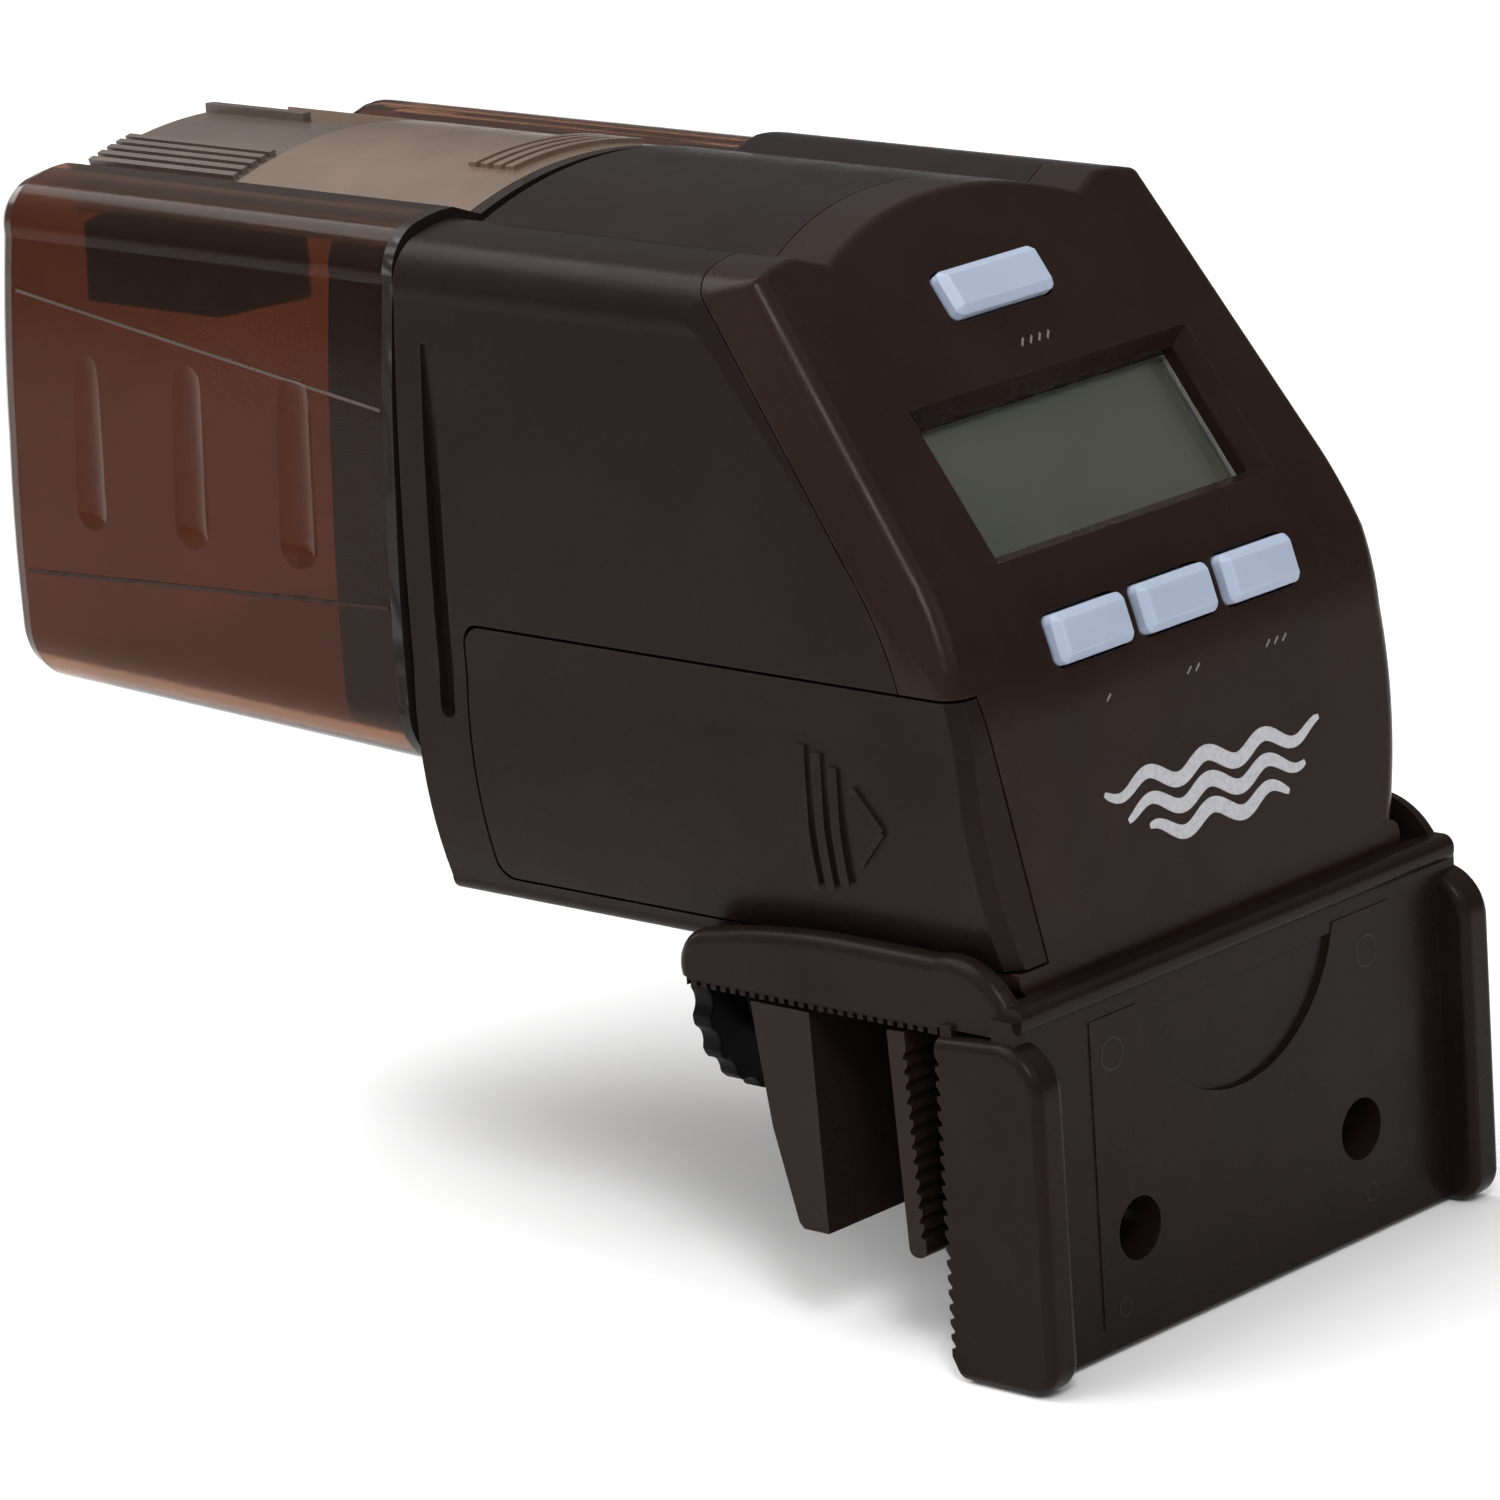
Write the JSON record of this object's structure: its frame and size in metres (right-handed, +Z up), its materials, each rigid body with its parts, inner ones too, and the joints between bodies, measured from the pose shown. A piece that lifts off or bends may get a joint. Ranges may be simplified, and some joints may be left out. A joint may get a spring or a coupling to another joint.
{
  "type": "automatic aquarium feeder",
  "caption": "Battery fish feeder with a turning food drum, sliding lid and feed shutter, display and buttons, on a bracket that clamps to the glass edge of a tank.",
  "frame": {"origin": "on the seat under the bracket tray, where the top edge of the tank glass rests, in the middle of the width", "axes": "+X to the right seen from the control panel, +Y from the control panel towards the food drum (into the tank), +Z up"},
  "size_m": [0.0716, 0.1414, 0.1086],
  "materials": {
    "brown_plastic": "satin, fine texture",
    "bezel_plastic": "satin metallic brown",
    "clamp_plastic": "satin",
    "black_plastic": "satin",
    "smoke_plastic": "translucent brown, polished",
    "lid_plastic": "translucent brown, polished",
    "shutter_plastic": "satin",
    "button_blue": "pale blue, semi-gloss",
    "display": "grey-green display",
    "clear_plastic": "clear",
    "circuit_board": "solder mask",
    "cell_sleeve": "printed sleeve",
    "spring_steel": "plated",
    "screw_steel": "plated",
    "motor_steel": "drawn can",
    "white_nylon": "natural",
    "brass": "machined"
  },
  "bodies": {
    "housing": {"bracket": "brown_plastic", "main_housing": "brown_plastic", "front_bezel": "bezel_plastic", "lcd_lens": "clear_plastic", "lcd_glass": "display", "lcd_holder": "black_plastic", "control_board": "circuit_board", "board_components": "black_plastic", "key_board": "circuit_board", "tact_switches": "black_plastic", "battery_tray": "black_plastic", "cell_lower": "cell_sleeve", "cell_upper": "cell_sleeve", "battery_springs": "spring_steel", "battery_contacts": "spring_steel", "bezel_screws": "screw_steel", "motor_can": "motor_steel", "motor_end_cap": "white_nylon", "gearbox_plate": "black_plastic", "gearbox_screws": "screw_steel", "gear_axles": "screw_steel", "shaft_bush": "white_nylon", "position_switch": "black_plastic"},
    "drum": {"drum_shell": "smoke_plastic", "drum_end_cap": "black_plastic", "feed_chute": "black_plastic", "output_shaft": "white_nylon", "output_gear": "white_nylon", "position_cam": "white_nylon"},
    "lid": {"fill_lid": "lid_plastic"},
    "shutter": {"feed_shutter": "shutter_plastic"},
    "gear_2": {"reduction_gear_2": "white_nylon"},
    "gear_1": {"reduction_gear_1": "white_nylon"},
    "pinion": {"motor_pinion": "brass"},
    "door": {"battery_door": "brown_plastic"},
    "feed_key": {"button_feed": "button_blue"},
    "set_key": {"button_set": "button_blue"},
    "hour_key": {"button_hour": "button_blue"},
    "minute_key": {"button_minute": "button_blue"},
    "carrier": {"clamp_carrier": "clamp_plastic"},
    "jaw": {"clamp_jaw": "clamp_plastic"},
    "screw": {"clamp_screw": "clamp_plastic", "clamp_knob": "black_plastic"}
  },
  "joints": [
    {"name": "drum_turn", "type": "hinge", "parent": "housing", "child": "drum", "pos_m": [0, 0.0665, 0.0444], "axis": [0, 1, 0], "continuous": true},
    {"name": "gear_2_turn", "type": "hinge", "parent": "housing", "child": "gear_2", "pos_m": [0.0124, 0.06, 0.03596], "axis": [0, 1, 0], "continuous": true},
    {"name": "gear_1_turn", "type": "hinge", "parent": "housing", "child": "gear_1", "pos_m": [0.018, 0.057, 0.02423], "axis": [0, 1, 0], "continuous": true},
    {"name": "pinion_turn", "type": "hinge", "parent": "housing", "child": "pinion", "pos_m": [0.0126, 0.055, 0.01522], "axis": [0, 1, 0], "continuous": true},
    {"name": "lid_slide", "type": "slide", "parent": "drum", "child": "lid", "axis": [0, 1, 0], "range_m": [0, 0.03]},
    {"name": "shutter_turn", "type": "hinge", "parent": "lid", "child": "shutter", "pos_m": [-0.0009, 0.115, 0.02104], "axis": [0, 1, 0], "range_deg": [0, 12]},
    {"name": "door_slide", "type": "slide", "parent": "housing", "child": "door", "axis": [0, -1, 0], "range_m": [0, 0.062]},
    {"name": "feed_key_press", "type": "slide", "parent": "housing", "child": "feed_key", "axis": [0, 0.8019, -0.5974], "range_m": [0, 0.0006], "stiffness_N_per_m": 300},
    {"name": "set_key_press", "type": "slide", "parent": "housing", "child": "set_key", "axis": [0, 0.9496, -0.3134], "range_m": [0, 0.0006], "stiffness_N_per_m": 300},
    {"name": "hour_key_press", "type": "slide", "parent": "housing", "child": "hour_key", "axis": [0, 0.9496, -0.3134], "range_m": [0, 0.0006], "stiffness_N_per_m": 300},
    {"name": "minute_key_press", "type": "slide", "parent": "housing", "child": "minute_key", "axis": [0, 0.9496, -0.3134], "range_m": [0, 0.0006], "stiffness_N_per_m": 300},
    {"name": "carrier_slide", "type": "slide", "parent": "housing", "child": "carrier", "axis": [0, 1, 0], "range_m": [0, 0.008]},
    {"name": "jaw_slide", "type": "slide", "parent": "carrier", "child": "jaw", "axis": [0, 1, 0], "range_m": [-0.0031, 0.0048]},
    {"name": "screw_turn", "type": "hinge", "parent": "jaw", "child": "screw", "pos_m": [0, 0.01, -0.0109], "axis": [0, 1, 0], "range_deg": [-540, 810]}
  ],
  "couplings": [
    {"joint": "gear_2_turn", "follows": "drum_turn", "ratio": -4},
    {"joint": "gear_1_turn", "follows": "drum_turn", "ratio": 13.333},
    {"joint": "pinion_turn", "follows": "drum_turn", "ratio": -42.667},
    {"joint": "jaw_slide", "follows": "screw_turn", "m_per_rad": 0.00031831}
  ]
}
